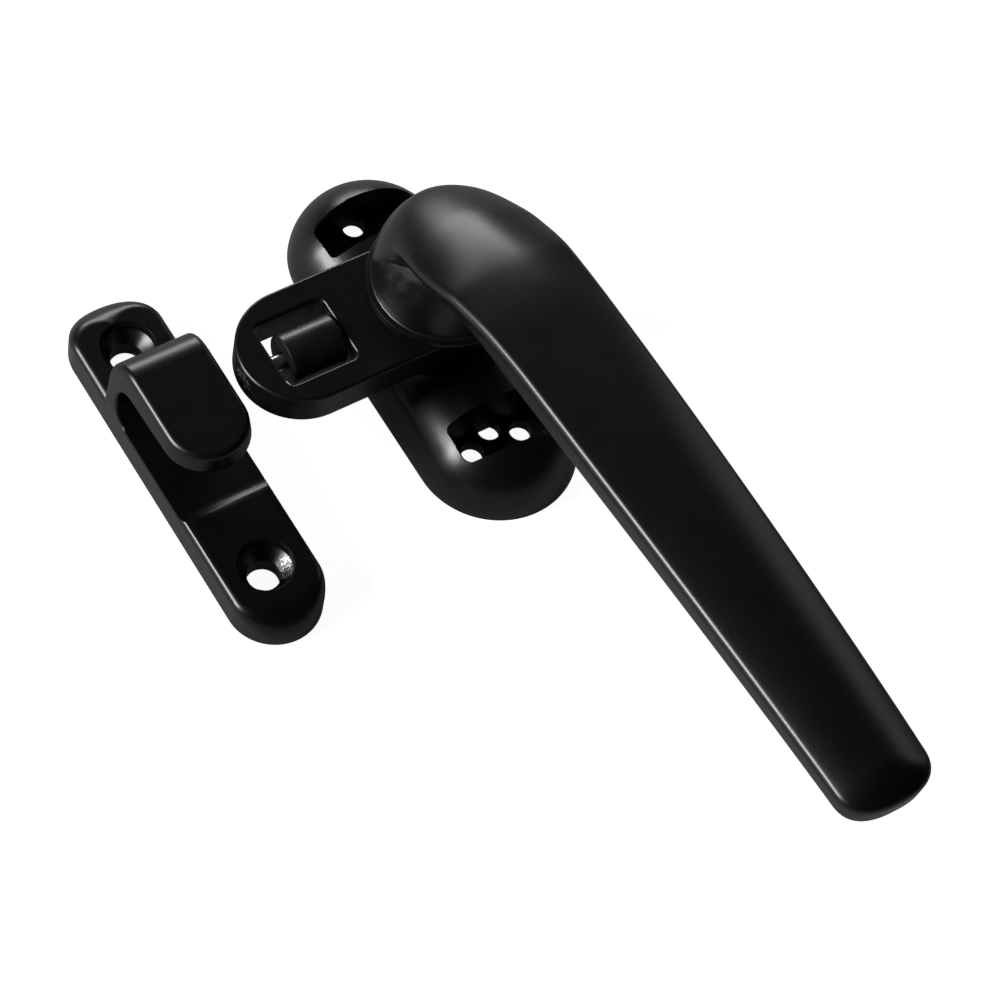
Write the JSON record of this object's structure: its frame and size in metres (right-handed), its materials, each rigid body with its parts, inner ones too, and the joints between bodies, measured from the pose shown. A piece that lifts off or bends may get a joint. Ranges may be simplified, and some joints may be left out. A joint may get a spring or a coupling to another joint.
{
  "type": "casement window fastener with hook keeper",
  "caption": "Casement window fastener: a lever turns a tongue with a roller over a domed base, and a separate hook keeper receives the tongue.",
  "frame": {"origin": "on the handle's turning axis, in the plane of the mounting face (z = 0)", "axes": "+Z out of the mounting face, along the turning axis; the tongue points along -X to the keeper; +Y is the base's long axis, and the lever points along -Y in the locked position"},
  "size_m": [0.0696, 0.1597, 0.0567],
  "materials": {
    "black_coat": "satin black powder coat on die-cast zinc",
    "steel_plate": "black satin coat on pressed steel",
    "bright_steel": "zinc plated",
    "black_nylon": "turned black nylon",
    "pale_nylon": "moulded natural nylon"
  },
  "bodies": {
    "base": {"base_cover": "black_coat", "mounting_plate": "steel_plate", "plate_screws": "bright_steel", "pivot_bush": "pale_nylon", "thrust_washer": "black_nylon", "detent_balls": "bright_steel", "detent_springs": "bright_steel", "keeper": "black_coat"},
    "handle": {"lever": "black_coat", "tongue": "black_coat", "spindle": "bright_steel", "detent_plate": "bright_steel", "retaining_washer": "bright_steel", "spring_washer": "bright_steel", "spindle_screw": "bright_steel", "roller_pin": "bright_steel"},
    "roller": {"roller": "black_nylon"}
  },
  "joints": [
    {"name": "handle_turn", "type": "hinge", "parent": "base", "child": "handle", "pos_m": [0, 0, 0], "axis": [0, 0, 1], "range_deg": [0, 90]},
    {"name": "roller_spin", "type": "hinge", "parent": "handle", "child": "roller", "pos_m": [-0.02565, 0, 0.0194], "axis": [1, 0, 0], "continuous": true}
  ]
}
